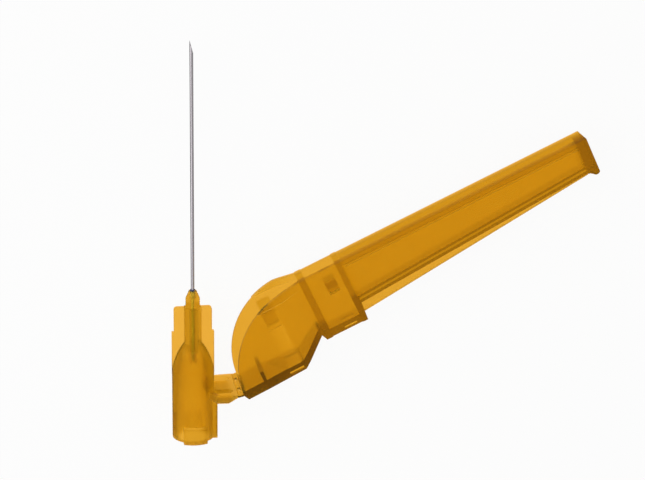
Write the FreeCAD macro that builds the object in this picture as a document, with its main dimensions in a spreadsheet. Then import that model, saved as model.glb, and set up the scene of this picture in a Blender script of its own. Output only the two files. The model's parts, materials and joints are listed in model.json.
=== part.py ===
"""Safety hypodermic needle with a hinged sheath, in millimetres.

The needle runs along +Y, the sheath folds in the XY plane about an axis along +Z,
and the origin is the centre of the syringe socket's mouth.
"""
import FreeCAD, Part
import math
import os
import Sketcher
from FreeCAD import Rotation, Vector

doc = FreeCAD.newDocument("SafetyNeedle")
sheet = doc.addObject("Spreadsheet::Sheet", "Sizes")

# Driving sizes

DRIVING = (
    # steel needle tube
    ("cannula_diameter", 0.51, "outside diameter, 25 gauge"),
    ("cannula_lumen", 0.26, "inside diameter"),
    ("cannula_exposed", 37.1, "from the hub's nose to the point"),
    ("bevel_length", 1.9, "ground slope of the point"),
    ("facet_length", 0.9, "side facets of the point"),
    ("bond_gap", 0.03, "room for the bond round the tube"),
    # hub
    ("body_radius", 3.1, "round body at the syringe end"),
    ("body_height", 10.6, "straight part of the body"),
    ("shoulder_height", 4.25, "height of the curved shoulder"),
    ("shoulder_curve", 10.0, "radius of the shoulder's curve"),
    ("tube_radius", 1.3, "tube between the fins"),
    ("fin_top", 20.4, "upper end of the fins"),
    ("fin_step", 16.55, "height where the fins narrow"),
    ("side_fin_reach", 2.78, "upper side fins, from the axis"),
    ("side_fin_thickness", 0.8, "side fins"),
    ("fin_corner", 0.45, "rounded upper corner of a side fin"),
    ("front_fin_reach", 1.95, "front and back fins, from the axis"),
    ("front_fin_thickness", 1.2, "front and back fins"),
    ("nose_radius", 1.05, "nose above the fins"),
    ("nose_straight", 1.35, "straight part of the nose"),
    ("nose_height", 2.5, "nose above the fins"),
    ("nose_tip_radius", 0.55, "upper end of the nose's cone"),
    ("flute_radius", 0.2, "flutes down the nose"),
    ("well_radius", 0.45, "well for the bond in the nose"),
    ("well_depth", 1.2, "well for the bond in the nose"),
    ("bead_height", 0.15, "bond standing above the nose"),
    ("entry_radius", 2.2, "straight entry of the syringe socket"),
    ("entry_depth", 0.5, "straight entry of the syringe socket"),
    ("socket_mouth_radius", 2.135, "wide end of the socket's taper"),
    ("socket_depth", 8.5, "narrow end of the taper, from the mouth"),
    ("socket_slope", 0.03, "radius lost for each millimetre of depth"),
    ("socket_straight", 1.0, "straight stretch above the taper"),
    ("cavity_top", 13.6, "closed end of the hollow hub"),
    ("cavity_top_radius", 1.3, "hollow hub at its closed end"),
    ("post_radius", 0.62, "post that holds the tube's lower end"),
    ("post_foot", 11.7, "lower end of that post"),
    ("lug_radius", 3.9, "outside of the two lock lugs"),
    ("lug_width", 3.5, "lock lug"),
    ("lug_height", 2.4, "lock lug"),
    ("spine_reach", 3.45, "rib under the bracket, from the axis"),
    ("spine_thickness", 3.0, "rib under the bracket"),
    # bracket and moulded hinge
    ("hinge_x", 6.6, "hinge axis beside the needle"),
    ("hinge_y", 7.6, "hinge axis above the socket's mouth"),
    ("hinge_width", 8.7, "bracket, web and sheath at the hinge"),
    ("bracket_thickness", 1.2, "bracket plate"),
    ("bracket_root", 2.3, "half width where the bracket leaves the body"),
    ("bracket_root_x", 2.0, "where the bracket leaves the body"),
    ("bracket_flare_x", 3.1, "where the bracket reaches its width"),
    ("bracket_flare", 4.15, "half width there"),
    ("bracket_thin_x", 4.8, "where the underside starts to thin"),
    ("slot_offset", 2.46, "recess in the bracket, from the middle plane"),
    ("slot_width", 1.5, "recess in the bracket"),
    ("slot_start", 3.3, "inner end of the recess"),
    ("slot_length", 1.85, "recess, without its round ends"),
    ("slot_depth", 0.7, "recess in the bracket"),
    ("web_thickness", 0.34, "moulded hinge"),
    ("web_reach", 0.45, "moulded hinge, each way from its axis"),
    ("dent_offset", 1.9, "dent in the web, from the middle plane"),
    ("dent_width", 1.4, "dent in the web"),
    ("dent_depth", 0.14, "dent in the web"),
    # sheath, along its length and across it from the hinge axis
    ("open_angle", 25.7, "sheath above the X axis as it lies"),
    ("sheath_length", 61.95, "hinge axis to the closed end"),
    ("rim_line", 11.2, "open edge, from the hinge axis"),
    ("wall", 0.8, "side walls"),
    ("back_wall", 1.17, "back wall of the bulb"),
    ("back_line", -1.0, "outside of the bulb's back wall"),
    ("heel_reach", 0.85, "where the bulb's back starts"),
    ("bulb_crown", 12.8, "where the bulb's edge meets the open edge"),
    ("bulb_curve", 12.4, "radius of the bulb's edge"),
    ("bulb_back_end", 10.4, "end of the bulb's back"),
    ("ramp_end", 14.6, "end of the slope behind the bulb"),
    ("ramp_rise", 2.1, "height of that end"),
    ("ramp_wall", 0.85, "wall over the slope, measured across"),
    ("waist_start", 4.5, "bulb plates start to close in"),
    ("waist_half", 4.15, "half width there"),
    ("shoulder_start", 11.5, "bulb plates turn in to the box"),
    ("shoulder_half", 3.55, "half width there"),
    ("box_start", 15.0, "box part of the sheath"),
    ("box_end", 21.95, "box part of the sheath"),
    ("box_half", 2.24, "half width of the box"),
    ("box_back", 1.15, "outside of the box's back wall"),
    ("box_back_wall", 1.0, "back wall of the box"),
    ("rib_width", 1.0, "bands at the box's ends"),
    ("rib_proud", 0.2, "bands above the box's sides"),
    ("rib_free", 0.95, "free half space between the bands"),
    ("trough_half", 1.9, "half width of the trough"),
    ("trough_back_start", 3.8, "outside of the trough's back at the box"),
    ("trough_back_end", 6.05, "outside of the trough's back at its end"),
    ("trough_back_wall", 0.85, "back wall of the trough"),
    ("lip_height", 1.1, "thick lip along the open edge"),
    ("rail_free", 0.74, "free half space between the trough's lips"),
    ("lip_proud", 0.3, "lip above the bulb's sides"),
    ("fin_half", 0.45, "half thickness of the back fin"),
    ("fin_start_line", 1.75, "edge of the back fin at the box"),
    ("fin_end_line", 5.3, "edge of the back fin at its end"),
    ("end_wall", 1.5, "closed end of the sheath"),
    ("toe_radius", 0.6, "small toe at the closed end"),
    ("bulb_catch_start", 8.03, "catch in the bulb"),
    ("bulb_catch_length", 2.0, "catch in the bulb"),
    ("bulb_catch_low", 7.65, "catch in the bulb"),
    ("bulb_catch_height", 1.88, "catch in the bulb"),
    ("bulb_catch_half", 2.3, "free half space between the bulb's catches"),
    ("box_catch_start", 18.3, "catch in the box"),
    ("box_catch_length", 1.7, "catch in the box"),
    ("box_catch_low", 7.1, "catch in the box"),
    ("box_catch_height", 1.7, "catch in the box"),
    ("box_catch_half", 0.6, "free half space between the box's catches"),
    ("catch_ramp", 0.85, "sloped end of a catch"),
    ("window_spare", 0.15, "recess longer than its catch at each end"),
    ("window_skin", 0.4, "wall left over the recesses"),
    ("bulb_window_half", 2.3, "recess in the bulb's back"),
    ("box_window_half", 1.1, "recess in the box's back"),
    ("gusset_start", 3.95, "cross rib in the bulb"),
    ("gusset_thickness", 0.5, "cross rib in the bulb"),
    ("gusset_height", 1.7, "cross rib in the bulb"),
    ("core_relief", 0.12, "shallow core mark from recess to catch"),
)

# Sizes that follow from them

DERIVED = (
    ("cannula_radius", "cannula_diameter / 2"),
    ("lumen_radius", "cannula_lumen / 2"),
    ("nose_top", "fin_top + nose_height"),
    ("nose_cone", "fin_top + nose_straight"),
    ("point_y", "nose_top + cannula_exposed"),
    ("cannula_foot", "post_foot + 10 * bond_gap"),
    ("bore_radius", "cannula_radius + bond_gap"),
    ("bevel_side", "2 * cannula_radius"),
    ("bevel_high", "point_y + bevel_length / 2"),
    ("bevel_low", "point_y - bevel_length * 1.5"),
    ("facet_low", "point_y - facet_length"),
    ("shoulder_top", "body_height + shoulder_height"),
    ("fin_foot", "body_height - side_fin_thickness"),
    ("front_fin_foot", "body_height + side_fin_thickness"),
    ("socket_end_radius", "socket_mouth_radius - socket_slope * (socket_depth - entry_depth)"),
    ("socket_end", "socket_depth + socket_straight"),
    ("well_floor", "nose_top - well_depth"),
    ("bead_foot", "well_floor + bond_gap"),
    ("bead_inner", "cannula_radius + bond_gap"),
    ("bead_outer", "well_radius - bond_gap"),
    ("bead_tip", "cannula_radius + 3 * bond_gap"),
    ("bead_top", "nose_top + bead_height"),
    ("lug_half", "lug_width / 2"),
    ("lug_corner", "sqrt(lug_radius ^ 2 - lug_half ^ 2)"),
    ("spine_root", "body_radius - wall"),
    ("bracket_top", "hinge_y + web_thickness / 2"),
    ("bracket_low", "bracket_top - bracket_thickness"),
    ("bracket_end", "hinge_x - web_reach"),
    ("hinge_half", "hinge_width / 2"),
    ("web_low", "hinge_y - web_thickness / 2"),
    ("web_half", "web_thickness / 2"),
    ("slot_half", "slot_width / 2"),
    ("slot_end", "slot_start + slot_length"),
    ("slot_curve", "slot_half * 1.05"),
    ("slot_near", "slot_offset - slot_half"),
    ("slot_far", "slot_offset + slot_half"),
    ("dent_near", "dent_offset - dent_width / 2"),
    ("dent_far", "dent_offset + dent_width / 2"),
    ("dent_start", "bracket_end + web_reach * 0.3"),
    ("cos_open", "cos(open_angle * 1 deg)"),
    ("sin_open", "sin(open_angle * 1 deg)"),
    ("sheath_low_x", "hinge_x + web_reach * cos_open + web_half * sin_open"),
    ("sheath_low_y", "hinge_y + web_reach * sin_open - web_half * cos_open"),
    ("sheath_high_x", "hinge_x + web_reach * cos_open - web_half * sin_open"),
    ("sheath_high_y", "hinge_y + web_reach * sin_open + web_half * cos_open"),
    ("bend_low_x", "hinge_x + web_half * tan(open_angle * 0.5 deg)"),
    ("bend_high_x", "hinge_x - web_half * tan(open_angle * 0.5 deg)"),
    ("inner_back", "back_line + back_wall"),
    ("ramp_slope", "(ramp_rise - back_line) / (ramp_end - bulb_back_end)"),
    ("ramp_lift", "ramp_wall * sqrt(1 + ramp_slope ^ 2)"),
    ("inner_ramp_start", "bulb_back_end + (back_wall - ramp_lift) / ramp_slope"),
    ("inner_ramp_end", "box_start - rib_width / 2"),
    ("inner_ramp_rise", "back_line + ramp_slope * (inner_ramp_end - bulb_back_end) + ramp_lift"),
    ("inner_box_start", "box_start + rib_width"),
    ("inner_box_end", "box_end - rib_width"),
    ("inner_box_back", "box_back + box_back_wall"),
    ("box_foot_end", "box_end - rib_proud"),
    ("inner_trough_start", "trough_back_start + trough_back_wall"),
    ("inner_trough_end", "trough_back_end + trough_back_wall"),
    ("cavity_end", "sheath_length - end_wall"),
    ("cap_start", "cavity_end - rib_proud"),
    ("toe_line", "trough_back_end - toe_radius * 0.6"),
    ("toe_start", "sheath_length - 1.7 * toe_radius"),
    ("core_out", "rim_line + 3 * wall"),
    ("core_before", "-3 * wall"),
    ("core_far", "sheath_length + 3 * wall"),
    ("bulb_window_depth", "back_wall - window_skin"),
    ("box_window_depth", "box_back_wall - window_skin"),
    ("inner_hinge_half", "hinge_half - wall"),
    ("inner_waist_half", "waist_half - wall"),
    ("inner_shoulder_half", "shoulder_half - wall"),
    ("inner_box_half", "box_half - wall"),
    ("inner_trough_half", "trough_half - wall"),
    ("lip_shoulder_half", "shoulder_half + lip_proud"),
    ("lip_waist_half", "waist_half + lip_proud"),
    ("lip_line", "rim_line - lip_height"),
    ("side_clear", "hinge_width"),
    ("rib_half_width", "box_half + rib_proud"),
    ("first_rib_end", "box_start + rib_width"),
    ("second_rib_start", "box_end - rib_width"),
    ("bulb_catch_end", "bulb_catch_start + bulb_catch_length"),
    ("bulb_catch_high", "bulb_catch_low + bulb_catch_height"),
    ("bulb_catch_foot", "bulb_catch_low - catch_ramp"),
    ("box_catch_end", "box_catch_start + box_catch_length"),
    ("box_catch_high", "box_catch_low + box_catch_height"),
    ("box_catch_foot", "box_catch_low - catch_ramp"),
    ("bulb_window_start", "bulb_catch_start - window_spare"),
    ("bulb_window_end", "bulb_catch_end + window_spare"),
    ("box_window_start", "box_catch_start - window_spare"),
    ("box_window_end", "box_catch_end + window_spare"),
    ("gusset_end", "gusset_start + gusset_thickness"),
    ("relief_half", "inner_shoulder_half + core_relief + "
                    "(inner_waist_half - inner_shoulder_half) / 2"),
)


def fill_sheet():
    row = 0
    for alias, number, note in DRIVING:
        row += 1
        sheet.set(f"A{row}", note)
        sheet.set(f"B{row}", str(number))
        sheet.setAlias(f"B{row}", alias)
    for alias, formula in DERIVED:
        row += 1
        sheet.set(f"B{row}", "=" + formula)
        sheet.setAlias(f"B{row}", alias)
    doc.recompute()


fill_sheet()


def size(name):
    """Number behind an alias; a leading minus turns its sign and zero is the origin."""
    if name == "zero":
        return 0.0
    if name.startswith("-"):
        return -size(name[1:])
    return float(getattr(sheet, name))


def formula(name):
    """The same alias as an expression."""
    if name.startswith("-"):
        return "-Sizes." + name[1:]
    return "Sizes." + name


# Sketch and feature helpers

def plane_of(body, role):
    return next(item for item in body.Origin.OriginFeatures if item.Role == role)


def sketch_on(body, role, name, offset=None):
    """Sketch on one of the body's own planes, moved along its normal by a named size."""
    sketch = body.newObject("Sketcher::SketchObject", name)
    sketch.AttachmentSupport = [(plane_of(body, role), "")]
    sketch.MapMode = "FlatFace"
    if offset:
        sketch.setExpression("AttachmentOffset.Base.z", formula(offset))
    return sketch


def pin(sketch, edge, end, x, y):
    """Hold one end of an edge at two named distances from the origin."""
    for kind, name in (("DistanceX", x), ("DistanceY", y)):
        number = sketch.addConstraint(
            Sketcher.Constraint(kind, -1, 1, edge, end, size(name)))
        if name != "zero":
            sketch.setExpression(f"Constraints[{number}]", formula(name))


def arc_between(start, end, radius, bend):
    """Short arc through two points; bend is +1 when it turns left on the way."""
    chord = end - start
    middle = (start + end) * 0.5
    left = Vector(-chord.y, chord.x, 0).normalize()
    rise = math.sqrt(max(radius ** 2 - (chord.Length / 2) ** 2, 0.0))
    centre = middle + left * (rise * bend)
    first, last = (start, end) if bend > 0 else (end, start)
    first_angle = math.atan2(first.y - centre.y, first.x - centre.x)
    last_angle = math.atan2(last.y - centre.y, last.x - centre.x)
    return Part.ArcOfCircle(Part.Circle(centre, Vector(0, 0, 1), radius), first_angle, last_angle)


def outline(sketch, corners):
    """Closed outline. A corner is (x, y), or (x, y, radius, bend) before an arc."""
    points = [Vector(size(corner[0]), size(corner[1]), 0) for corner in corners]
    edges = []
    for index, corner in enumerate(corners):
        start = points[index]
        end = points[(index + 1) % len(points)]
        if len(corner) == 2:
            edges.append((sketch.addGeometry(Part.LineSegment(start, end)), 1, 2))
        else:
            arc = arc_between(start, end, size(corner[2]), corner[3])
            ends = (1, 2) if corner[3] > 0 else (2, 1)
            edges.append((sketch.addGeometry(arc), *ends))
    for index, (edge, first, last) in enumerate(edges):
        following = edges[(index + 1) % len(edges)]
        sketch.addConstraint(
            Sketcher.Constraint("Coincident", edge, last, following[0], following[1]))
    for (edge, first, last), corner in zip(edges, corners):
        pin(sketch, edge, first, corner[0], corner[1])
        if len(corner) > 2:
            number = sketch.addConstraint(Sketcher.Constraint("Radius", edge, size(corner[2])))
            sketch.setExpression(f"Constraints[{number}]", formula(corner[2]))


def rectangle(sketch, left, low, right, high):
    outline(sketch, ((left, low), (right, low), (right, high), (left, high)))


def pad(body, sketch, name, length, symmetric=True, reverse=False):
    """Extrusion with a named length; a symmetric one takes the half length."""
    feature = body.newObject("PartDesign::Pad", name)
    feature.Profile = sketch
    feature.SideType = "Symmetric" if symmetric else "One side"
    feature.Reversed = reverse
    feature.setExpression("Length", formula(length) + (" * 2" if symmetric else ""))
    doc.recompute()
    return feature


def pocket(body, sketch, name, length=None, symmetric=True, reverse=False):
    """Cut along the sketch's normal, right through if no length is named."""
    feature = body.newObject("PartDesign::Pocket", name)
    feature.Profile = sketch
    feature.SideType = "Symmetric" if symmetric else "One side"
    feature.Reversed = reverse
    if length:
        feature.setExpression("Length", formula(length) + (" * 2" if symmetric else ""))
    else:
        feature.Type = "ThroughAll"
    before = feature.BaseFeature.Shape.Volume
    doc.recompute()
    if feature.Shape.Volume > before - 1e-6:
        raise ValueError(name + " cuts nothing")
    return feature


def turn(body, sketch, name, kind="PartDesign::Revolution"):
    """Full turn about the sketch's vertical axis."""
    feature = body.newObject(kind, name)
    feature.Profile = sketch
    feature.ReferenceAxis = (sketch, ["V_Axis"])
    feature.Angle = 360
    doc.recompute()
    return feature


def mirror(body, features, name):
    """Copies of features on the other side of the middle plane."""
    feature = body.newObject("PartDesign::Mirrored", name)
    feature.Originals = features
    feature.MirrorPlane = (plane_of(body, "XY_Plane"), [""])
    body.Tip = feature
    doc.recompute()
    return feature


# Steel needle tube

def build_cannula():
    body = doc.addObject("PartDesign::Body", "cannula")
    tube = sketch_on(body, "XY_Plane", "TubeSection")
    rectangle(tube, "lumen_radius", "cannula_foot", "cannula_radius", "point_y")
    turn(body, tube, "Tube")
    bevel = sketch_on(body, "XY_Plane", "BevelCut")
    outline(bevel, (("-bevel_side", "bevel_high"), ("bevel_side", "bevel_low"),
                    ("bevel_side", "bevel_high")))
    pocket(body, bevel, "Bevel")
    facets = sketch_on(body, "YZ_Plane", "FacetCut")
    outline(facets, (("facet_low", "cannula_radius"), ("point_y", "zero"),
                     ("point_y", "cannula_radius")))
    outline(facets, (("facet_low", "-cannula_radius"), ("point_y", "-cannula_radius"),
                     ("point_y", "zero")))
    pocket(body, facets, "Facets")
    return body


# Bond between tube and nose

def build_adhesive():
    body = doc.addObject("PartDesign::Body", "adhesive_bead")
    bead = sketch_on(body, "XY_Plane", "BeadSection")
    outline(bead, (("bead_inner", "bead_foot"), ("bead_outer", "bead_foot"),
                   ("bead_outer", "nose_top"), ("bead_tip", "bead_top"),
                   ("bead_inner", "bead_top")))
    turn(body, bead, "Bead")
    return body


# Hub: body, fins, nose, lugs and bracket in one moulding

def build_hub():
    body = doc.addObject("PartDesign::Body", "hub")

    form = sketch_on(body, "XY_Plane", "BodySection")
    outline(form, (("zero", "zero"), ("body_radius", "zero"),
                   ("body_radius", "body_height", "shoulder_curve", 1),
                   ("tube_radius", "shoulder_top"), ("tube_radius", "fin_top"),
                   ("nose_radius", "fin_top"), ("nose_radius", "nose_cone"),
                   ("nose_tip_radius", "nose_top"), ("zero", "nose_top")))
    turn(body, form, "RoundBody")

    fins = sketch_on(body, "XY_Plane", "SideFinOutline")
    outline(fins, (("-body_radius", "fin_foot"), ("body_radius", "fin_foot"),
                   ("body_radius", "fin_step"), ("side_fin_reach", "fin_step"),
                   ("side_fin_reach", "fin_top"), ("-side_fin_reach", "fin_top"),
                   ("-side_fin_reach", "fin_step"), ("-body_radius", "fin_step")))
    side_fins = body.newObject("PartDesign::Pad", "SideFins")
    side_fins.Profile = fins
    side_fins.SideType = "Symmetric"
    side_fins.setExpression("Length", "Sizes.side_fin_thickness")
    doc.recompute()

    front = sketch_on(body, "YZ_Plane", "FrontFinOutline")
    rectangle(front, "front_fin_foot", "-front_fin_reach", "fin_top", "front_fin_reach")
    front_fins = body.newObject("PartDesign::Pad", "FrontFins")
    front_fins.Profile = front
    front_fins.SideType = "Symmetric"
    front_fins.setExpression("Length", "Sizes.front_fin_thickness")
    doc.recompute()

    corners = [f"Edge{number}" for number, edge in enumerate(front_fins.Shape.Edges, 1)
               if abs(abs(edge.CenterOfMass.x) - size("side_fin_reach")) < 1e-4
               and abs(edge.CenterOfMass.y - size("fin_top")) < 1e-4
               and abs(edge.Length - size("side_fin_thickness")) < 1e-4]
    rounds = body.newObject("PartDesign::Fillet", "FinCorners")
    rounds.Base = (front_fins, corners)
    rounds.setExpression("Radius", "Sizes.fin_corner")
    doc.recompute()

    # lugs stand out of the body front and back, each end on one circle
    lugs = sketch_on(body, "XZ_Plane", "LugOutline")
    outline(lugs, (("-lug_half", "-lug_corner", "lug_radius", 1), ("lug_half", "-lug_corner"),
                   ("lug_half", "lug_corner", "lug_radius", 1), ("-lug_half", "lug_corner")))
    pad(body, lugs, "LockLugs", "lug_height", symmetric=False, reverse=True)

    spine = sketch_on(body, "XY_Plane", "SpineOutline")
    rectangle(spine, "spine_root", "zero", "spine_reach", "bracket_low")
    spine_pad = body.newObject("PartDesign::Pad", "Spine")
    spine_pad.Profile = spine
    spine_pad.SideType = "Symmetric"
    spine_pad.setExpression("Length", "Sizes.spine_thickness")
    doc.recompute()

    # the bracket flares from the round body to the width of the hinge
    plate = sketch_on(body, "XZ_Plane", "BracketOutline", "-bracket_low")
    outline(plate, (("bracket_root_x", "-bracket_root"), ("bracket_flare_x", "-bracket_flare"),
                    ("bracket_end", "-hinge_half"), ("bracket_end", "hinge_half"),
                    ("bracket_flare_x", "bracket_flare"), ("bracket_root_x", "bracket_root")))
    pad(body, plate, "Bracket", "bracket_thickness", symmetric=False, reverse=True)

    thin = sketch_on(body, "XY_Plane", "BracketUnderside")
    outline(thin, (("bracket_thin_x", "bracket_low"), ("hinge_x", "bracket_low"),
                   ("hinge_x", "web_low"), ("bracket_end", "web_low")))
    pocket(body, thin, "ThinToHinge")

    slots = sketch_on(body, "XZ_Plane", "SlotOutline", "-bracket_top")
    for near, far in (("slot_near", "slot_far"), ("-slot_far", "-slot_near")):
        outline(slots, (("slot_start", near), ("slot_end", near, "slot_curve", 1),
                        ("slot_end", far), ("slot_start", far, "slot_curve", 1)))
    pocket(body, slots, "Slots", "slot_depth", symmetric=False, reverse=True)

    # tapered syringe socket, hollow shoulder, post, bore and bond well in one turn
    hollow = sketch_on(body, "XY_Plane", "HollowSection")
    outline(hollow, (("zero", "zero"), ("entry_radius", "zero"),
                     ("entry_radius", "entry_depth"), ("socket_mouth_radius", "entry_depth"),
                     ("socket_end_radius", "socket_depth"), ("socket_end_radius", "socket_end"),
                     ("cavity_top_radius", "cavity_top"),
                     ("post_radius", "cavity_top"), ("post_radius", "post_foot"),
                     ("bore_radius", "post_foot"), ("bore_radius", "well_floor"),
                     ("well_radius", "well_floor"), ("well_radius", "nose_top"),
                     ("zero", "nose_top")))
    turn(body, hollow, "Hollow", "PartDesign::Groove")

    flute = sketch_on(body, "XZ_Plane", "FluteOutline", "-nose_top")
    ring = flute.addGeometry(Part.Circle(Vector(size("nose_radius"), 0, 0), Vector(0, 0, 1),
                                         size("flute_radius")))
    pin(flute, ring, 3, "nose_radius", "zero")
    number = flute.addConstraint(Sketcher.Constraint("Radius", ring, size("flute_radius")))
    flute.setExpression(f"Constraints[{number}]", "Sizes.flute_radius")
    cut = pocket(body, flute, "Flute", "nose_height", symmetric=False, reverse=True)
    flutes = body.newObject("PartDesign::PolarPattern", "Flutes")
    flutes.Originals = [cut]
    flutes.Axis = (plane_of(body, "Y_Axis"), [""])
    flutes.Angle = 360
    flutes.Occurrences = 4
    body.Tip = flutes
    doc.recompute()
    return body


# Web of the moulded hinge

def build_hinge():
    body = doc.addObject("PartDesign::Body", "living_hinge")
    strip = sketch_on(body, "XY_Plane", "WebSection")
    outline(strip, (("bracket_end", "web_low"), ("bend_low_x", "web_low"),
                    ("sheath_low_x", "sheath_low_y"), ("sheath_high_x", "sheath_high_y"),
                    ("bend_high_x", "bracket_top"), ("bracket_end", "bracket_top")))
    pad(body, strip, "Web", "hinge_half")
    dents = sketch_on(body, "XZ_Plane", "DentOutline", "-bracket_top")
    rectangle(dents, "dent_start", "dent_near", "hinge_x", "dent_far")
    rectangle(dents, "dent_start", "-dent_far", "hinge_x", "-dent_near")
    pocket(body, dents, "Dents", "dent_depth", symmetric=False, reverse=True)
    return body


# Sheath: outer form and the core that hollows it

def build_sheath_form():
    body = doc.addObject("PartDesign::Body", "sheath_form")

    side = sketch_on(body, "XY_Plane", "SideOutline")
    outline(side, (("web_reach", "-web_half"), ("heel_reach", "back_line"),
                   ("bulb_back_end", "back_line"), ("ramp_end", "ramp_rise"),
                   ("box_start", "box_back"), ("box_foot_end", "box_back"),
                   ("box_end", "trough_back_start"), ("cavity_end", "trough_back_end"),
                   ("toe_start", "toe_line", "toe_radius", 1), ("sheath_length", "toe_line"),
                   ("sheath_length", "rim_line"), ("bulb_crown", "rim_line", "bulb_curve", 1),
                   ("web_reach", "web_half")))
    pad(body, side, "SideForm", "hinge_half")

    # the lip along the open edge is as wide as the box, and the walls below it step in
    lip = sketch_on(body, "XZ_Plane", "LipPlan")
    for sign in ("", "-"):
        outline(lip, (("zero", sign + "hinge_half"), ("waist_start", sign + "lip_waist_half"),
                      ("shoulder_start", sign + "lip_shoulder_half"),
                      ("box_start", sign + "box_half"), ("core_far", sign + "box_half"),
                      ("core_far", sign + "side_clear"), ("zero", sign + "side_clear")))
    pocket(body, lip, "LipPlanCut")

    walls = sketch_on(body, "XZ_Plane", "WallPlan", "-lip_line")
    for sign in ("", "-"):
        outline(walls, (("zero", sign + "hinge_half"), ("waist_start", sign + "waist_half"),
                        ("shoulder_start", sign + "shoulder_half"),
                        ("box_start", sign + "box_half"), ("box_end", sign + "box_half"),
                        ("box_end", sign + "trough_half"), ("cap_start", sign + "trough_half"),
                        ("cap_start", sign + "box_half"), ("core_far", sign + "box_half"),
                        ("core_far", sign + "side_clear"), ("zero", sign + "side_clear")))
    pocket(body, walls, "WallPlanCut", "core_far", symmetric=False, reverse=True)

    bands = sketch_on(body, "XY_Plane", "BandOutline")
    rectangle(bands, "box_start", "box_back", "first_rib_end", "rim_line")
    rectangle(bands, "second_rib_start", "box_back", "box_foot_end", "rim_line")
    pad(body, bands, "Bands", "rib_half_width")

    fin = sketch_on(body, "XY_Plane", "BackFinOutline")
    outline(fin, (("inner_box_end", "fin_start_line"), ("box_end", "fin_start_line"),
                  ("cavity_end", "fin_end_line"), ("cavity_end", "inner_trough_end"),
                  ("inner_box_end", "inner_trough_start")))
    pad(body, fin, "BackFin", "fin_half")

    # recesses in the back, one opposite each pair of catches
    for name, back, start, end, half, depth in (
            ("BulbWindow", "back_line", "bulb_window_start", "bulb_window_end",
             "bulb_window_half", "bulb_window_depth"),
            ("BoxWindow", "box_back", "box_window_start", "box_window_end",
             "box_window_half", "box_window_depth")):
        window = sketch_on(body, "XZ_Plane", name + "Outline", "-" + back)
        rectangle(window, start, "-" + half, end, half)
        pocket(body, window, name, depth, symmetric=False)
    return body


def build_sheath_core():
    """The hollow and its core marks, notched where the bands and the catches stand."""
    body = doc.addObject("PartDesign::Body", "sheath_core")

    side = sketch_on(body, "XY_Plane", "ChannelOutline")
    outline(side, (("core_before", "inner_back"), ("inner_ramp_start", "inner_back"),
                   ("inner_ramp_end", "inner_ramp_rise"), ("inner_box_start", "inner_ramp_rise"),
                   ("inner_box_start", "inner_box_back"), ("inner_box_end", "inner_box_back"),
                   ("inner_box_end", "inner_trough_start"), ("cavity_end", "inner_trough_end"),
                   ("cavity_end", "core_out"), ("core_before", "core_out")))
    pad(body, side, "ChannelForm", "inner_hinge_half")

    plan = sketch_on(body, "XZ_Plane", "ChannelPlan")
    for sign in ("", "-"):
        outline(plan, (("zero", sign + "inner_hinge_half"),
                       ("waist_start", sign + "inner_waist_half"),
                       ("shoulder_start", sign + "inner_shoulder_half"),
                       ("box_start", sign + "inner_box_half"),
                       ("inner_box_end", sign + "inner_box_half"),
                       ("box_end", sign + "inner_trough_half"),
                       ("sheath_length", sign + "inner_trough_half"),
                       ("sheath_length", sign + "side_clear"), ("zero", sign + "side_clear")))
    pocket(body, plan, "ChannelPlanCut")

    bands = sketch_on(body, "XZ_Plane", "BandSpace")
    rails = sketch_on(body, "XZ_Plane", "RailSpace", "-lip_line")
    for sign in ("", "-"):
        rectangle(bands, "box_start", sign + "rib_free", "first_rib_end", sign + "side_clear")
        rectangle(bands, "second_rib_start", sign + "rib_free", "box_foot_end",
                  sign + "side_clear")
        rectangle(rails, "box_end", sign + "rail_free", "core_far", sign + "side_clear")
    pocket(body, bands, "BandSpaceCut")
    pocket(body, rails, "RailSpaceCut", "core_far", symmetric=False)

    # each pair of catches is a slot in the core, sloped on its back side
    for name, start, length, half, foot, low, high in (
            ("BulbCatch", "bulb_catch_start", "bulb_catch_length", "bulb_catch_half",
             "bulb_catch_foot", "bulb_catch_low", "bulb_catch_high"),
            ("BoxCatch", "box_catch_start", "box_catch_length", "box_catch_half",
             "box_catch_foot", "box_catch_low", "box_catch_high")):
        hook = sketch_on(body, "YZ_Plane", name + "Profile", start)
        outline(hook, ((foot, "hinge_half"), (low, half), (high, half), (high, "hinge_half")))
        first = pocket(body, hook, name, length, symmetric=False, reverse=True)
        mirror(body, [first], name + "Pair")

    gusset = sketch_on(body, "XY_Plane", "GussetOutline")
    rectangle(gusset, "gusset_start", "back_line", "gusset_end", "gusset_height")
    pocket(body, gusset, "Gusset")

    relief = sketch_on(body, "XY_Plane", "ReliefOutline")
    rectangle(relief, "bulb_window_start", "inner_back", "bulb_window_end", "bulb_catch_foot")
    pad(body, relief, "CoreMark", "relief_half")
    return body


def build_sheath():
    sheath = doc.addObject("Part::Cut", "sheath")
    sheath.Base = build_sheath_form()
    sheath.Tool = build_sheath_core()
    sheath.Placement = FreeCAD.Placement(
        Vector(size("hinge_x"), size("hinge_y"), 0),
        Rotation(Vector(0, 0, 1), size("open_angle")))
    sheath.setExpression("Placement.Base.x", "Sizes.hinge_x")
    sheath.setExpression("Placement.Base.y", "Sizes.hinge_y")
    sheath.setExpression("Placement.Rotation.Angle", "Sizes.open_angle")
    doc.recompute()
    return sheath


def main():
    pieces = [build_cannula(), build_adhesive(), build_hub(), build_hinge(), build_sheath()]
    doc.recompute()
    for item in doc.Objects:
        if "Invalid" in item.State or "Error" in item.State:
            raise ValueError(item.Label + " is " + ", ".join(item.State))
    os.makedirs("parts", exist_ok=True)
    for piece in pieces:
        if piece.Shape.isNull() or not piece.Shape.isValid():
            raise ValueError(piece.Label + " has no sound shape")
        piece.Shape.exportStep("parts/" + piece.Label + ".step")


main()
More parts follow.
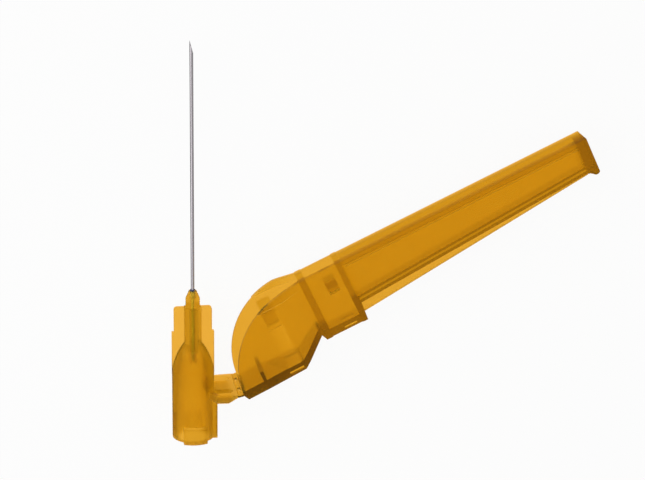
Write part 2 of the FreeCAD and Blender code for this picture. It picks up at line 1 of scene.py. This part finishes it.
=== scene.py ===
"""Safety hypodermic needle: the looks of its orange moulding, steel tube and bond.

Everything is in metres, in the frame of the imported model: the needle runs along +Y, the
sheath folds about an axis along +Z, and the part lies on its side with +Z up.
"""

import json
import math

import bmesh
import bpy
from bpy.props import FloatProperty, FloatVectorProperty, IntProperty, PointerProperty
from mathutils import Matrix, Vector


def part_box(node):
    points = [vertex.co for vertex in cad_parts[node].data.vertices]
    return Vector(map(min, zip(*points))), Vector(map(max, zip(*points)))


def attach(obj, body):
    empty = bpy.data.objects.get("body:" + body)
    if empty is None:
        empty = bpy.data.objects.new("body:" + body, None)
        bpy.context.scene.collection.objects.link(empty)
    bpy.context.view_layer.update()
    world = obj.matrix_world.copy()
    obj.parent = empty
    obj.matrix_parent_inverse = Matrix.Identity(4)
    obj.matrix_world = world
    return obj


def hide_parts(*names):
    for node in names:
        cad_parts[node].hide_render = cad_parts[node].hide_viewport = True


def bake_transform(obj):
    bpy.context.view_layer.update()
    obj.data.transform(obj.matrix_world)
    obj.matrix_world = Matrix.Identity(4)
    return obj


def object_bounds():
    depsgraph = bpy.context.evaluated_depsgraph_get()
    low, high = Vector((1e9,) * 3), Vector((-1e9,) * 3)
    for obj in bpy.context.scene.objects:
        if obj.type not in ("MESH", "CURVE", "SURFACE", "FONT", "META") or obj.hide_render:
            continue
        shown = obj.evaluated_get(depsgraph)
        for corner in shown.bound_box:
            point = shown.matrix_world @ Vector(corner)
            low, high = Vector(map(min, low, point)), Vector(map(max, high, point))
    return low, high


bl_info = {
    "name": "Safety Needle Looks",
    "version": (1, 0, 0),
    "blender": (4, 5, 0),
    "location": "3D Viewport > Sidebar > Needle",
    "description": "Finishes the pieces of a hinged-sheath hypodermic needle and sets its stage",
    "category": "Object",
}

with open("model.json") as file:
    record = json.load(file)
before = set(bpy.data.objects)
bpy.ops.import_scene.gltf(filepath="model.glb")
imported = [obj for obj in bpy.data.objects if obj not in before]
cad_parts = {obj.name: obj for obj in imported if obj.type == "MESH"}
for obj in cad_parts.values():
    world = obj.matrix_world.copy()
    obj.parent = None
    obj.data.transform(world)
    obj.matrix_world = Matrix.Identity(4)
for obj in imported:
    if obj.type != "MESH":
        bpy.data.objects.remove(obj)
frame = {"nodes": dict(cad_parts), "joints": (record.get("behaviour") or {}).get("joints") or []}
CAD_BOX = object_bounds()

MM = 0.001
SHEATH_BODY = "sheath_body"
HINGE_AXIS = Vector(frame["joints"][0]["pos_m"])
WEB_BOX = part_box("living_hinge")
# The sheath's slope above the X axis as the part lies
SHEATH_LIFT = math.radians(25.7)
# Recesses in the sheath's back, measured along the sheath and across it from the hinge axis:
# start, end, half width, place of the floor and place of the back's outside
RECESSES = ((7.8 * MM, 10.3 * MM, 2.4 * MM, 0.23 * MM, 1.0 * MM),
            (18.1 * MM, 21.0 * MM, 1.2 * MM, -1.75 * MM, -1.15 * MM))
# How near to a recess floor its corners lie
RECESS_SLACK = 0.02 * MM

# Colour drifts that the flowing melt leaves, and the grain of the satined mould
DRIFT_SIZE = 2 * MM
DRIFT_STRETCH = 0.3
DRIFT_SHARE = 0.03
GRAIN_SIZE = 0.12 * MM
GRAIN_DEPTH = 0.01 * MM
GRAIN_STRENGTH = 0.12

# Web: spacing of its points across, reach of the neck and the dents as shares of its length,
# and how square the dents are
WEB_ROW = 0.15 * MM
NECK_REACH = 0.18
DENT_REACH = 0.3
DENT_POWER = 6
# Edges sharper than these are rounded on the sheath and kept sharp on the web
ROUNDED_ANGLE = math.radians(35)
SHARP_ANGLE = math.radians(40)
WELD_DISTANCE = 0.0001 * MM

# Floor and lamp, in metres
FLOOR_REACH = 1.5
FLOOR_GAP = 0.01 * MM
KEY_SIZE = (0.6, 0.45)
KEY_PLACE = (-0.32, 0.08, 0.26)

# The photograph's frame, and the camera that was fitted to the part's corners in it
PHOTO_WIDTH = 645
PIXELS_PER_MM = 6.6992
CAMERA_DISTANCE = 288.66 * MM
CAMERA_TIP = math.radians(18.43)
CAMERA_SWING = math.radians(9.60)
CAMERA_ROLL = math.radians(0.94)
CAMERA_AIM = (19.264 * MM, 29.082 * MM)
SENSOR_WIDTH = 36.0


def srgb(text):
    """Linear RGBA from an sRGB hex value."""
    parts = [int(text[place:place + 2], 16) / 255 for place in (0, 2, 4)]
    return [c / 12.92 if c <= 0.04045 else ((c + 0.055) / 1.055) ** 2.4 for c in parts] + [1.0]


# Settings that a user would change

class MouldingSettings(bpy.types.PropertyGroup):
    """Finish of the hub, the web and the sheath."""
    tint: FloatVectorProperty(
        name="Tint", description="Light that one wall lets through",
        subtype="COLOR", size=4, min=0, max=1, default=srgb("FFDE50"))
    depth: FloatVectorProperty(
        name="Depth Colour", description="Light left after a long way through the plastic",
        subtype="COLOR", size=4, min=0, max=1, default=srgb("EAE100"))
    density: FloatProperty(
        name="Pigment", description="How fast the plastic darkens with its thickness",
        default=1380.0, min=0)
    # painted light: the hub gets less pigment than the sheath, a lighter copy of the same plastic
    # that stands in for the light filling the thick hub
    hub_lit_share: FloatProperty(
        name="Hub Pigment", description="Pigment of the hub, as a share of the sheath's",
        default=0.66, min=0)
    # painted shade: the web gets more pigment than the sheath, a darker copy of the same plastic
    # that stands in for shade on the thin web
    web_shade_share: FloatProperty(
        name="Web Pigment", description="Pigment of the web, as a share of the sheath's",
        default=2.5, min=0)
    clearness: FloatProperty(
        name="Clearness", description="Share of light that passes and isn't scattered back",
        default=0.94, min=0, max=1, subtype="FACTOR")
    sheath_satin: FloatProperty(
        name="Sheath Satin", description="Roughness of the thin walls, as the mould left it",
        default=0.22, min=0, max=1, subtype="FACTOR")
    hub_satin: FloatProperty(
        name="Hub Satin", description="Roughness of the hub, whose core was turned and blasted",
        default=0.42, min=0, max=1, subtype="FACTOR")
    sheath_bend: FloatProperty(
        name="Sheath Bend", description="How much the thin walls bend light, as an IOR",
        default=1.22, min=1)
    hub_bend: FloatProperty(
        name="Hub Bend", description="How much the thick hub bends light, as an IOR",
        default=1.15, min=1)
    web_bend: FloatProperty(
        name="Web Bend", description="How much the web bends light, as an IOR",
        default=1.2, min=1)
    window_fill: FloatProperty(
        name="Recess Fill", description="Share of their depth that the back's recesses lose",
        default=0.7, min=0, max=0.95, subtype="FACTOR")
    sheen: FloatVectorProperty(
        name="Sheen", description="Colour of the light that the surface reflects face on",
        subtype="COLOR", size=4, min=0, max=1, default=srgb("B07818"))
    edge_round: FloatProperty(
        name="Edge Round", description="Radius of the mould's worn edges",
        default=0.06 * MM, min=0, subtype="DISTANCE")


class WebSettings(bpy.types.PropertyGroup):
    """Shape of the thin web that bends between hub and sheath."""
    rim: FloatProperty(
        name="Rim", description="Thickness where the web leaves the bracket and the sheath",
        default=0.3 * MM, min=0, subtype="DISTANCE")
    neck: FloatProperty(
        name="Neck", description="Thickness on the bending line",
        default=0.24 * MM, min=0, subtype="DISTANCE")
    dent: FloatProperty(
        name="Dent", description="Depth of the two dents pressed beside the bending line",
        default=0.16 * MM, min=0, subtype="DISTANCE")
    dent_place: FloatProperty(
        name="Dent Place", description="Dents, from the middle of the web",
        default=1.9 * MM, min=0, subtype="DISTANCE")
    dent_length: FloatProperty(
        name="Dent Length", description="Length of a dent along the bending line",
        default=1.1 * MM, min=0, subtype="DISTANCE")
    steps: IntProperty(
        name="Steps", description="Stretches from the bracket to the sheath", default=24, min=4)


class SteelSettings(bpy.types.PropertyGroup):
    """Finish of the needle tube."""
    colour: FloatVectorProperty(
        name="Steel", description="Colour of the drawn tube",
        subtype="COLOR", size=4, min=0, max=1, default=srgb("C8C2C7"))
    roughness: FloatProperty(
        name="Roughness", description="Polish of the drawn tube",
        default=0.28, min=0, max=1, subtype="FACTOR")
    line_spacing: FloatProperty(
        name="Draw Lines", description="Distance between the fine lines left by drawing",
        default=0.04 * MM, min=0, subtype="DISTANCE")


class BondSettings(bpy.types.PropertyGroup):
    """Finish of the resin that holds the tube."""
    tint: FloatVectorProperty(
        name="Resin", description="Tint of the cured resin",
        subtype="COLOR", size=4, min=0, max=1, default=srgb("5A68B0"))
    clear: FloatVectorProperty(
        name="Deep Resin", description="Tint of the resin down in the nose, against the plastic",
        subtype="COLOR", size=4, min=0, max=1, default=srgb("F4E6D0"))
    blue_height: FloatProperty(
        name="Blue Height", description="How far down the drop its blue dye shows",
        default=0.5 * MM, min=0, subtype="DISTANCE")
    roughness: FloatProperty(
        name="Roughness", description="Wet look of the cured resin",
        default=0.08, min=0, max=1, subtype="FACTOR")


class StageSettings(bpy.types.PropertyGroup):
    """Floor, lights and surroundings."""
    under_glow: FloatVectorProperty(
        name="Under Glow", description="Paper lit through the plastic and seen through it",
        subtype="COLOR", size=4, min=0, max=1, default=srgb("FFCAA0"))
    floor_colour: FloatVectorProperty(
        name="Floor", description="Colour of the floor",
        subtype="COLOR", size=4, min=0, max=1, default=srgb("F4F4F2"))
    shadow_share: FloatProperty(
        name="Shadow", description="How much of the floor's own shading the camera sees",
        default=0.07, min=0, max=1, subtype="FACTOR")
    mirror_light: FloatProperty(
        name="Mirrored Paper", description="Light of the paper as gloss reflects it",
        default=0.08, min=0)
    sky_light: FloatProperty(
        name="Sky", description="Even light from all round", default=0.5, min=0)
    key_light: FloatProperty(
        name="Key Light", description="Large soft lamp above the part",
        default=1.0, min=0, unit="POWER")


# Helpers

def add_node(tree, kind, links=None, **settings):
    """Adds a shader node, sets its attributes and input values, and links its inputs."""
    node = tree.nodes.new(kind)
    for name, value in settings.items():
        if hasattr(node, name):
            setattr(node, name, value)
        else:
            node.inputs[name.replace("_", " ")].default_value = value
    for name, source in (links or {}).items():
        tree.links.new(source, node.inputs[name])
    return node


def new_material(name):
    """Empty node material and its output node."""
    material = bpy.data.materials.new(name)
    material.use_nodes = True
    material.node_tree.nodes.clear()
    return material, material.node_tree, add_node(material.node_tree, "ShaderNodeOutputMaterial")


def dress(piece, material):
    """Gives a piece one material in place of those it came with."""
    piece.data.materials.clear()
    piece.data.materials.append(material)


# Materials

def moulded_polypropylene(look, name, share, bend, satin):
    """Polypropylene with an orange gauge colour, injection moulded in a lightly satined tool.

    The eye sees light from behind through each wall, tinted once a wall and darker where
    it runs along a wall, with a soft sheen and no sharp highlights. It bends light less than
    solid polypropylene, so that the inner edges stay as soft as satined walls show them.
    """
    material, tree, output = new_material(name)
    place = add_node(tree, "ShaderNodeTexCoord")
    # the melt flows along the part and leaves faint drifts of colour, longer than wide
    along = add_node(tree, "ShaderNodeMapping", {"Vector": place.outputs["Object"]})
    along.inputs["Rotation"].default_value = (0, 0, -SHEATH_LIFT)
    along.inputs["Scale"].default_value = (DRIFT_STRETCH, 1, 1)
    drift = add_node(tree, "ShaderNodeTexNoise", {"Vector": along.outputs["Vector"]},
                     Scale=1 / DRIFT_SIZE, Detail=2.0)
    tint = add_node(tree, "ShaderNodeMixRGB", {"Fac": drift.outputs["Fac"]},
                    Color1=[c * (1 - DRIFT_SHARE) for c in look.tint[:3]] + [1],
                    Color2=[min(c * (1 + DRIFT_SHARE), 1) for c in look.tint[:3]] + [1])
    # the skin tints light on its way in, and lets it out as it is
    side = add_node(tree, "ShaderNodeNewGeometry")
    skin = add_node(tree, "ShaderNodeMixRGB", {"Fac": side.outputs["Backfacing"],
                                               "Color1": tint.outputs["Color"]},
                    Color2=(1, 1, 1, 1))
    # spark-eroded satin of the mould
    grain = add_node(tree, "ShaderNodeTexNoise", {"Vector": place.outputs["Object"]},
                     Scale=1 / GRAIN_SIZE, Detail=1.0)
    bump = add_node(tree, "ShaderNodeBump", {"Height": grain.outputs["Fac"]},
                    Strength=GRAIN_STRENGTH, Distance=GRAIN_DEPTH)
    shade = add_node(
        tree, "ShaderNodeBsdfPrincipled",
        {"Base Color": skin.outputs["Color"], "Normal": bump.outputs["Normal"]},
        Roughness=satin, IOR=bend, Transmission_Weight=look.clearness,
        Specular_Tint=list(look.sheen))
    # share thins the pigment for the hub, as painted light, and thickens it for the web, as
    # painted shade
    pigment = add_node(tree, "ShaderNodeVolumeAbsorption", Color=list(look.depth),
                       Density=look.density * share)
    tree.links.new(shade.outputs["BSDF"], output.inputs["Surface"])
    tree.links.new(pigment.outputs["Volume"], output.inputs["Volume"])
    return material


def drawn_stainless_steel(look):
    """Stainless steel tube, drawn and electropolished.

    The eye sees a bright thin line with a grey side, and very fine lines along the tube.
    """
    material, tree, output = new_material("stainless_steel_drawn")
    place = add_node(tree, "ShaderNodeTexCoord")
    along = add_node(tree, "ShaderNodeMapping", {"Vector": place.outputs["Object"]},
                     Scale=(1, 0.02, 1))
    lines = add_node(tree, "ShaderNodeTexNoise", {"Vector": along.outputs["Vector"]},
                     Scale=1 / look.line_spacing, Detail=1.0)
    colour = add_node(tree, "ShaderNodeMixRGB", {"Fac": lines.outputs["Fac"]},
                      Color1=[c * 0.88 for c in look.colour[:3]] + [1], Color2=list(look.colour))
    rough = add_node(tree, "ShaderNodeMapRange", {"Value": lines.outputs["Fac"]})
    rough.inputs["To Min"].default_value = look.roughness * 0.8
    rough.inputs["To Max"].default_value = look.roughness * 1.2
    shade = add_node(tree, "ShaderNodeBsdfPrincipled",
                     {"Base Color": colour.outputs["Color"], "Roughness": rough.outputs["Result"]},
                     Metallic=1.0)
    tree.links.new(shade.outputs["BSDF"], output.inputs["Surface"])
    return material


def cured_resin(look):
    """Epoxy bond, wicked round the tube and cured clear.

    The eye sees a small wet-looking drop, dark blue where it stands proud of the nose. Down
    in the nose it is as clear as the plastic round it.
    """
    material, tree, output = new_material("epoxy_cured")
    place = add_node(tree, "ShaderNodeTexCoord")
    cloud = add_node(tree, "ShaderNodeTexNoise", {"Vector": place.outputs["Object"]},
                     Scale=1 / (0.3 * MM), Detail=1.0)
    dye = add_node(tree, "ShaderNodeMixRGB", {"Fac": cloud.outputs["Fac"]},
                   Color1=[c * 0.85 for c in look.tint[:3]] + [1], Color2=list(look.tint))
    spot = add_node(tree, "ShaderNodeSeparateXYZ", {"Vector": place.outputs["Object"]})
    height = add_node(tree, "ShaderNodeMapRange", {"Value": spot.outputs["Y"]})
    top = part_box("adhesive_bead")[1].y
    height.inputs["From Min"].default_value = top - look.blue_height
    height.inputs["From Max"].default_value = top - look.blue_height / 2
    tint = add_node(tree, "ShaderNodeMixRGB", {"Fac": height.outputs["Result"],
                                               "Color2": dye.outputs["Color"]},
                    Color1=list(look.clear))
    shade = add_node(tree, "ShaderNodeBsdfPrincipled", {"Base Color": tint.outputs["Color"]},
                     Roughness=look.roughness, IOR=1.52, Transmission_Weight=0.7)
    tree.links.new(shade.outputs["BSDF"], output.inputs["Surface"])
    return material


def pale_floor(look):
    """Matt white paper sweep.

    Seen straight on it is white, with a share of its own shading left in, so that the part's
    shadow shows. Through the plastic it shows a painted warm glow, for light that passed the
    part and lit the paper, and in a gloss it is dim.
    """
    material, tree, output = new_material("paper_sweep")
    place = add_node(tree, "ShaderNodeTexCoord")
    tooth = add_node(tree, "ShaderNodeTexNoise", {"Vector": place.outputs["Object"]},
                     Scale=1 / (1.5 * MM), Detail=2.0)
    colour = add_node(tree, "ShaderNodeMixRGB", {"Fac": tooth.outputs["Fac"]},
                      Color1=[c * 0.99 for c in look.floor_colour[:3]] + [1],
                      Color2=list(look.floor_colour))
    paper = add_node(tree, "ShaderNodeBsdfDiffuse", {"Color": colour.outputs["Color"]})
    path = add_node(tree, "ShaderNodeLightPath")
    # painted light: the paper seen through the plastic glows warm, standing in for light that
    # passed the part
    lit = add_node(tree, "ShaderNodeMixRGB", {"Fac": path.outputs["Is Transmission Ray"]},
                   Color1=(1, 1, 1, 1), Color2=list(look.under_glow))
    white = add_node(tree, "ShaderNodeEmission", {"Color": lit.outputs["Color"]}, Strength=1.0)
    seen = add_node(tree, "ShaderNodeMath", {0: path.outputs["Is Camera Ray"]},
                    operation="MULTIPLY")
    seen.inputs[1].default_value = 1 - look.shadow_share
    share = add_node(tree, "ShaderNodeMath", {0: seen.outputs[0],
                                              1: path.outputs["Is Transmission Ray"]},
                     operation="MAXIMUM")
    dim = add_node(tree, "ShaderNodeEmission", Color=(1, 1, 1, 1), Strength=look.mirror_light)
    flag = add_node(tree, "ShaderNodeMixShader",
                    {0: path.outputs["Is Glossy Ray"], 1: paper.outputs["BSDF"],
                     2: dim.outputs["Emission"]})
    mix = add_node(tree, "ShaderNodeMixShader",
                   {0: share.outputs[0], 1: flag.outputs["Shader"], 2: white.outputs["Emission"]})
    tree.links.new(mix.outputs["Shader"], output.inputs["Surface"])
    return material


# Operators, one for each group of pieces

class NEEDLE_OT_moulding(bpy.types.Operator):
    """Finish the orange moulding: hub, hinge web and sheath"""
    bl_idname = "needle.moulding"
    bl_label = "Moulding"

    def execute(self, context):
        look = context.scene.needle_moulding
        # the hub's and the web's plastics are lighter and darker copies of the sheath's: painted
        # light and painted shade
        thick = moulded_polypropylene(look, "orange_polypropylene_hub", look.hub_lit_share,
                                      look.hub_bend, look.hub_satin)
        thin = moulded_polypropylene(look, "orange_polypropylene_sheath", 1.0,
                                     look.sheath_bend, look.sheath_satin)
        web = moulded_polypropylene(look, "orange_polypropylene_web", look.web_shade_share,
                                    look.web_bend, look.sheath_satin)
        for name, plastic in (("hub", thick), ("living_hinge", web), ("sheath", thin)):
            dress(frame["nodes"][name], plastic)
        shell = sheath_shell(look)
        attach(shell, SHEATH_BODY)
        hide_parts("sheath")
        soften_edges(shell, look.edge_round)
        return {"FINISHED"}


def sheath_shell(look):
    """The sheath with the two recesses in its back as shallow as they look."""
    node = frame["nodes"]["sheath"]
    shell = bpy.data.objects.new("sheath_shell", node.data.copy())
    bpy.context.scene.collection.objects.link(shell)
    along = Vector((math.cos(SHEATH_LIFT), math.sin(SHEATH_LIFT), 0))
    out = Vector((along.y, -along.x, 0))
    for start, end, half, floor, back in RECESSES:
        for corner in shell.data.vertices:
            off = corner.co - HINGE_AXIS
            inside = start < off.dot(along) < end and abs(off.z) < half
            if inside and abs(off.dot(out) - floor) < RECESS_SLACK:
                corner.co += out * (back - floor) * look.window_fill
    return shell


def soften_edges(piece, radius):
    """Small round on the moulding's edges, where its two steel halves met and wore."""
    join = piece.modifiers.new("join_edges", "WELD")
    join.merge_threshold = WELD_DISTANCE
    bevel = piece.modifiers.new("soft_edges", "BEVEL")
    bevel.width = radius
    bevel.segments = 2
    bevel.limit_method = "ANGLE"
    bevel.angle_limit = ROUNDED_ANGLE
    bevel.use_clamp_overlap = True
    bevel.harden_normals = True


class NEEDLE_OT_web(bpy.types.Operator):
    """Shape the hinge web as a soft bend from the bracket to the sheath"""
    bl_idname = "needle.web"
    bl_label = "Hinge Web"

    def execute(self, context):
        look = context.scene.needle_web
        start = Vector((WEB_BOX[0].x + 0.01 * MM, HINGE_AXIS.y, 0))
        reach = HINGE_AXIS.x - start.x
        end = HINGE_AXIS + Vector((math.cos(SHEATH_LIFT), math.sin(SHEATH_LIFT), 0)) * reach
        web = web_piece(look, start, end)
        dress(web, bpy.data.materials["orange_polypropylene_web"])
        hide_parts("living_hinge")
        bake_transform(web)
        return {"FINISHED"}


def web_piece(look, start, end):
    """Closed strip along a soft bend, thinnest on the hinge axis, with two dents on top."""
    width = WEB_BOX[1].z - WEB_BOX[0].z
    rows = round(width / WEB_ROW)
    mesh = bmesh.new()
    layers = []
    for side in (1, -1):
        layer = []
        for step in range(look.steps + 1):
            way = step / look.steps
            middle = start.lerp(HINGE_AXIS, way).lerp(HINGE_AXIS.lerp(end, way), way)
            ahead = start.lerp(HINGE_AXIS, way) - HINGE_AXIS.lerp(end, way)
            up = Vector((ahead.y, -ahead.x, 0)).normalized()
            thin = math.exp(-((way - 0.5) / NECK_REACH) ** 2)
            half = (look.rim + (look.neck - look.rim) * thin) / 2
            line = []
            for row in range(rows + 1):
                z = WEB_BOX[0].z + width * row / rows
                off = (abs(z) - look.dent_place) / (look.dent_length / 2)
                press = look.dent * math.exp(
                    -off ** DENT_POWER - ((way - 0.5) / DENT_REACH) ** DENT_POWER)
                rise = half - (press if side > 0 else 0)
                line.append(mesh.verts.new(middle + up * rise * side + Vector((0, 0, z))))
            layer.append(line)
        layers.append(layer)
    top, low = layers
    for step in range(look.steps):
        for row in range(rows):
            for layer, flip in ((top, False), (low, True)):
                ring = [layer[step][row], layer[step + 1][row],
                        layer[step + 1][row + 1], layer[step][row + 1]]
                mesh.faces.new(reversed(ring) if flip else ring)
        for row in (0, rows):
            mesh.faces.new((top[step][row], top[step + 1][row],
                            low[step + 1][row], low[step][row]))
    for step in (0, look.steps):
        for row in range(rows):
            mesh.faces.new((top[step][row], top[step][row + 1],
                            low[step][row + 1], low[step][row]))
    bmesh.ops.recalc_face_normals(mesh, faces=mesh.faces)
    for face in mesh.faces:
        face.smooth = True
    data = bpy.data.meshes.new("hinge_web")
    mesh.to_mesh(data)
    mesh.free()
    data.set_sharp_from_angle(angle=SHARP_ANGLE)
    web = bpy.data.objects.new("hinge_web", data)
    bpy.context.scene.collection.objects.link(web)
    return web


class NEEDLE_OT_tube(bpy.types.Operator):
    """Finish the steel needle tube"""
    bl_idname = "needle.tube"
    bl_label = "Needle Tube"

    def execute(self, context):
        dress(frame["nodes"]["cannula"], drawn_stainless_steel(context.scene.needle_steel))
        return {"FINISHED"}


class NEEDLE_OT_bond(bpy.types.Operator):
    """Finish the resin that holds the tube in the hub"""
    bl_idname = "needle.bond"
    bl_label = "Bond"

    def execute(self, context):
        dress(frame["nodes"]["adhesive_bead"], cured_resin(context.scene.needle_bond))
        return {"FINISHED"}


class NEEDLE_OT_stage(bpy.types.Operator):
    """Set the floor, the lights and the camera"""
    bl_idname = "needle.stage"
    bl_label = "Stage"

    def execute(self, context):
        scene = context.scene
        look = scene.needle_stage
        lay_floor(look)
        light_scene(scene, look)
        scene.camera = place_camera(scene)
        scene.view_settings.view_transform = "Standard"
        return {"FINISHED"}


def lay_floor(look):
    """Wide paper just below the part."""
    mesh = bpy.data.meshes.new("floor")
    low = CAD_BOX[0].z - FLOOR_GAP
    corners = [(x * FLOOR_REACH, y * FLOOR_REACH, low)
               for x, y in ((-1, -1), (1, -1), (1, 1), (-1, 1))]
    mesh.from_pydata(corners, [], [(0, 1, 2, 3)])
    floor = bpy.data.objects.new("floor", mesh)
    bpy.context.scene.collection.objects.link(floor)
    dress(floor, pale_floor(look))


def light_scene(scene, look):
    """Even pale surroundings, white behind the part, and one large soft lamp."""
    world = bpy.data.worlds.new("white_surround")
    world.use_nodes = True
    tree = world.node_tree
    tree.nodes.clear()
    output = add_node(tree, "ShaderNodeOutputWorld")
    path = add_node(tree, "ShaderNodeLightPath")
    seen = add_node(tree, "ShaderNodeMath", {0: path.outputs["Is Camera Ray"],
                                             1: path.outputs["Is Transmission Ray"]},
                    operation="MAXIMUM")
    strength = add_node(tree, "ShaderNodeMapRange", {"Value": seen.outputs[0]})
    strength.inputs["To Min"].default_value = look.sky_light
    strength.inputs["To Max"].default_value = 1.0
    white = add_node(tree, "ShaderNodeBackground", {"Strength": strength.outputs["Result"]},
                     Color=(1, 1, 1, 1))
    tree.links.new(white.outputs["Background"], output.inputs["Surface"])
    scene.world = world

    lamp = bpy.data.lights.new("key_panel", "AREA")
    lamp.shape = "RECTANGLE"
    lamp.size, lamp.size_y = KEY_SIZE
    lamp.energy = look.key_light
    panel = bpy.data.objects.new("key_panel", lamp)
    middle = (CAD_BOX[0] + CAD_BOX[1]) / 2
    panel.location = middle + Vector(KEY_PLACE)
    panel.rotation_euler = (middle - panel.location).to_track_quat("-Z", "Y").to_euler()
    scene.collection.objects.link(panel)


def place_camera(scene):
    """Camera at the photograph's viewing angle, from the fitted tip, swing and roll."""
    back = Vector((-math.sin(CAMERA_SWING), math.sin(CAMERA_TIP) * math.cos(CAMERA_SWING),
                   math.cos(CAMERA_TIP) * math.cos(CAMERA_SWING)))
    right = Vector((0, 1, 0)).cross(back).normalized()
    up = back.cross(right)
    turned_right = right * math.cos(CAMERA_ROLL) + up * math.sin(CAMERA_ROLL)
    turned_up = up * math.cos(CAMERA_ROLL) - right * math.sin(CAMERA_ROLL)
    place = (turned_right * CAMERA_AIM[0] + turned_up * CAMERA_AIM[1]
             + back * CAMERA_DISTANCE)
    lens = bpy.data.cameras.new("camera")
    lens.sensor_width = SENSOR_WIDTH
    lens.lens = lens.sensor_width * PIXELS_PER_MM * CAMERA_DISTANCE / MM / PHOTO_WIDTH
    lens.clip_start = 0.01
    lens.clip_end = 10
    camera = bpy.data.objects.new("camera", lens)
    turn = Matrix((turned_right, turned_up, back)).transposed().to_4x4()
    camera.matrix_world = Matrix.Translation(place) @ turn
    scene.collection.objects.link(camera)
    return camera


class NEEDLE_PT_looks(bpy.types.Panel):
    """Lists the steps that dress the needle"""
    bl_idname = "NEEDLE_PT_looks"
    bl_label = "Safety Needle"
    bl_space_type = "VIEW_3D"
    bl_region_type = "UI"
    bl_category = "Needle"

    def draw(self, context):
        for step, settings in STEPS:
            box = self.layout.box()
            box.operator(step)
            group = getattr(context.scene, settings)
            for name in group.bl_rna.properties.keys():
                if name not in ("rna_type", "name"):
                    box.prop(group, name)


STEPS = (
    ("needle.moulding", "needle_moulding"),
    ("needle.web", "needle_web"),
    ("needle.tube", "needle_steel"),
    ("needle.bond", "needle_bond"),
    ("needle.stage", "needle_stage"),
)
GROUPS = {
    "needle_moulding": MouldingSettings,
    "needle_web": WebSettings,
    "needle_steel": SteelSettings,
    "needle_bond": BondSettings,
    "needle_stage": StageSettings,
}
CLASSES = (*GROUPS.values(), NEEDLE_OT_moulding, NEEDLE_OT_web, NEEDLE_OT_tube,
           NEEDLE_OT_bond, NEEDLE_OT_stage, NEEDLE_PT_looks)


def register():
    for each in CLASSES:
        bpy.utils.register_class(each)
    for name, group in GROUPS.items():
        setattr(bpy.types.Scene, name, PointerProperty(type=group))


def unregister():
    for name in GROUPS:
        delattr(bpy.types.Scene, name)
    for each in reversed(CLASSES):
        bpy.utils.unregister_class(each)


def main():
    register()
    bpy.ops.needle.moulding()
    bpy.ops.needle.web()
    bpy.ops.needle.tube()
    bpy.ops.needle.bond()
    bpy.ops.needle.stage()


if __name__ == "__main__":
    main()
